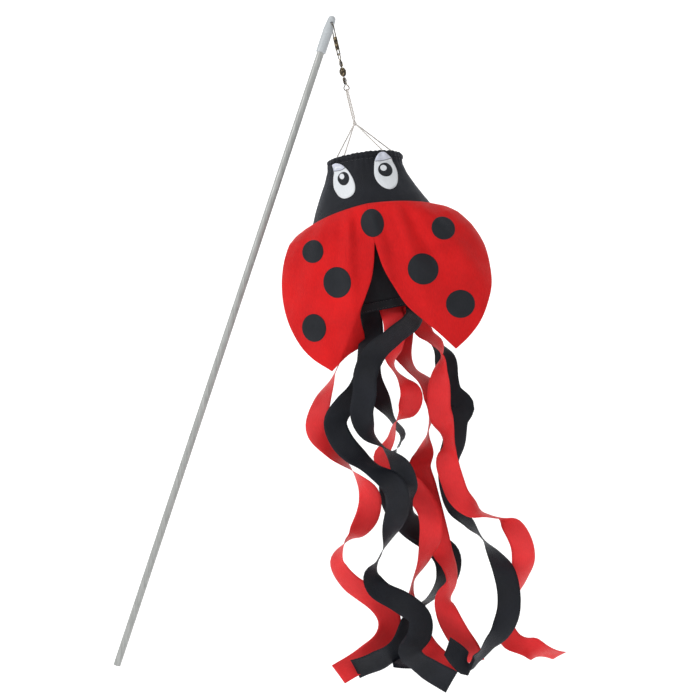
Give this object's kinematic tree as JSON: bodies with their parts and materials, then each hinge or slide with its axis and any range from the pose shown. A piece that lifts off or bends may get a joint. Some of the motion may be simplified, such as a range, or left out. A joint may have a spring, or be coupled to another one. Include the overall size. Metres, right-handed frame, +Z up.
{
  "type": "windsock with pole",
  "caption": "Hand-held windsock: a ladybird-shaped cloth sock with ribbon tails, hung by a snap swivel and cord bridle from the capped tip of a slim pole.",
  "frame": {"origin": "centre of the pole's foot, where it is held or pushed into the ground", "axes": "+Z up, the pole leans 18.4 degrees towards +X, and the ladybird's face looks towards -Y"},
  "size_m": [0.5048, 0.168, 0.7323],
  "materials": {
    "pole": "satin pultruded fibreglass",
    "cap": "smooth moulded vinyl",
    "snap": "dark antique plating, worn bright on its edges",
    "hoop_wire": "plain spring wire",
    "bridle_cord": "twisted cord",
    "black_cloth": "plain-weave nylon with a soft sheen",
    "red_cloth": "plain-weave nylon with a soft sheen",
    "white_cloth": "plain-weave nylon",
    "lilac_cloth": "plain-weave nylon",
    "red_ribbon": "light nylon ribbon with heat-cut edges",
    "black_ribbon": "light nylon ribbon with heat-cut edges"
  },
  "bodies": {
    "pole": {"pole_rod": "pole", "tip_cap": "cap"},
    "snap": {"snap_wire": "snap", "snap_clasp": "snap"},
    "swivel_eye": {"swivel_upper_eye": "snap"},
    "barrel": {"swivel_barrel": "snap"},
    "swivel_ring": {"swivel_lower_ring": "snap"},
    "sock": {"bridle_loop": "bridle_cord", "bridle_knot": "bridle_cord", "bridle_leg_front_left": "bridle_cord", "bridle_leg_back_left": "bridle_cord", "bridle_leg_front_right": "bridle_cord", "bridle_leg_back_right": "bridle_cord", "hoop": "hoop_wire", "hoop_casing": "black_cloth", "head_panel": "black_cloth", "body_panel": "black_cloth", "bottom_hem": "black_cloth", "collar": "red_cloth", "collar_spot": "black_cloth", "eye_white_left": "white_cloth", "eyelid_left": "lilac_cloth", "pupil_left": "black_cloth", "highlight_left": "white_cloth", "eye_white_right": "white_cloth", "eyelid_right": "lilac_cloth", "pupil_right": "black_cloth", "highlight_right": "white_cloth"},
    "left_wing": {"wing_left": "red_cloth", "left_spot_upper": "black_cloth", "left_spot_middle": "black_cloth", "left_spot_lower": "black_cloth"},
    "right_wing": {"wing_right": "red_cloth", "right_spot_upper": "black_cloth", "right_spot_middle": "black_cloth", "right_spot_lower": "black_cloth"},
    "red_streamer_1_body": {"red_streamer_1": "red_ribbon"},
    "black_streamer_1_body": {"black_streamer_1": "black_ribbon"},
    "red_streamer_2_body": {"red_streamer_2": "red_ribbon"},
    "black_streamer_2_body": {"black_streamer_2": "black_ribbon"},
    "red_streamer_3_body": {"red_streamer_3": "red_ribbon"},
    "black_streamer_3_body": {"black_streamer_3": "black_ribbon"},
    "red_streamer_4_body": {"red_streamer_4": "red_ribbon"},
    "black_streamer_4_body": {"black_streamer_4": "black_ribbon"}
  },
  "joints": [
    {"name": "snap_swing", "type": "hinge", "parent": "pole", "child": "snap", "pos_m": [0.23944, 0, 0.71341], "axis": [0, -1, 0], "range_deg": [-2, 75]},
    {"name": "eye_swing", "type": "hinge", "parent": "snap", "child": "swivel_eye", "pos_m": [0.24723, 0, 0.6797], "axis": [0.9034, -0.3746, 0.2086], "range_deg": [-35, 35]},
    {"name": "barrel_spin", "type": "hinge", "parent": "swivel_eye", "child": "barrel", "pos_m": [0.25164, 0, 0.6606], "axis": [0.225, 0, -0.9744], "continuous": true},
    {"name": "ring_spin", "type": "hinge", "parent": "barrel", "child": "swivel_ring", "pos_m": [0.25164, 0, 0.6606], "axis": [0.225, 0, -0.9744], "continuous": true},
    {"name": "bridle_swing", "type": "hinge", "parent": "swivel_ring", "child": "sock", "pos_m": [0.25573, 0, 0.64286], "axis": [0, -1, 0], "range_deg": [-10, 10]},
    {"name": "wing_left_lift", "type": "hinge", "parent": "sock", "child": "left_wing", "pos_m": [0.23644, -0.049, 0.48529], "axis": [-0.6941, 0.7071, -0.1349], "range_deg": [0, 20]},
    {"name": "wing_right_lift", "type": "hinge", "parent": "sock", "child": "right_wing", "pos_m": [0.33264, -0.049, 0.50399], "axis": [-0.6941, -0.7071, -0.1349], "range_deg": [0, 20]},
    {"name": "red_streamer_1_swing", "type": "hinge", "parent": "sock", "child": "red_streamer_1_body", "pos_m": [0.266, -0.014, 0.399], "axis": [0, -1, 0], "range_deg": [-5, 5]},
    {"name": "black_streamer_1_swing", "type": "hinge", "parent": "sock", "child": "black_streamer_1_body", "pos_m": [0.2775, -0.034, 0.398], "axis": [0, -1, 0], "range_deg": [-5, 5]},
    {"name": "red_streamer_2_swing", "type": "hinge", "parent": "sock", "child": "red_streamer_2_body", "pos_m": [0.3035, -0.04, 0.398], "axis": [0, -1, 0], "range_deg": [-5, 5]},
    {"name": "black_streamer_2_swing", "type": "hinge", "parent": "sock", "child": "black_streamer_2_body", "pos_m": [0.331, -0.033, 0.398], "axis": [0, -1, 0], "range_deg": [-5, 5]},
    {"name": "red_streamer_3_swing", "type": "hinge", "parent": "sock", "child": "red_streamer_3_body", "pos_m": [0.345, -0.012, 0.399], "axis": [0, -1, 0], "range_deg": [-5, 5]},
    {"name": "black_streamer_3_swing", "type": "hinge", "parent": "sock", "child": "black_streamer_3_body", "pos_m": [0.343, 0.017, 0.401], "axis": [0, -1, 0], "range_deg": [-5, 5]},
    {"name": "red_streamer_4_swing", "type": "hinge", "parent": "sock", "child": "red_streamer_4_body", "pos_m": [0.318, 0.04, 0.402], "axis": [0, -1, 0], "range_deg": [-5, 5]},
    {"name": "black_streamer_4_swing", "type": "hinge", "parent": "sock", "child": "black_streamer_4_body", "pos_m": [0.283, 0.038, 0.402], "axis": [0, -1, 0], "range_deg": [-5, 5]}
  ],
  "couplings": [
    {"joint": "black_streamer_1_swing", "follows": "red_streamer_1_swing", "ratio": 1},
    {"joint": "red_streamer_2_swing", "follows": "red_streamer_1_swing", "ratio": 1},
    {"joint": "black_streamer_2_swing", "follows": "red_streamer_1_swing", "ratio": 1},
    {"joint": "red_streamer_3_swing", "follows": "red_streamer_1_swing", "ratio": 1},
    {"joint": "black_streamer_3_swing", "follows": "red_streamer_1_swing", "ratio": 1},
    {"joint": "red_streamer_4_swing", "follows": "red_streamer_1_swing", "ratio": 1},
    {"joint": "black_streamer_4_swing", "follows": "red_streamer_1_swing", "ratio": 1}
  ]
}
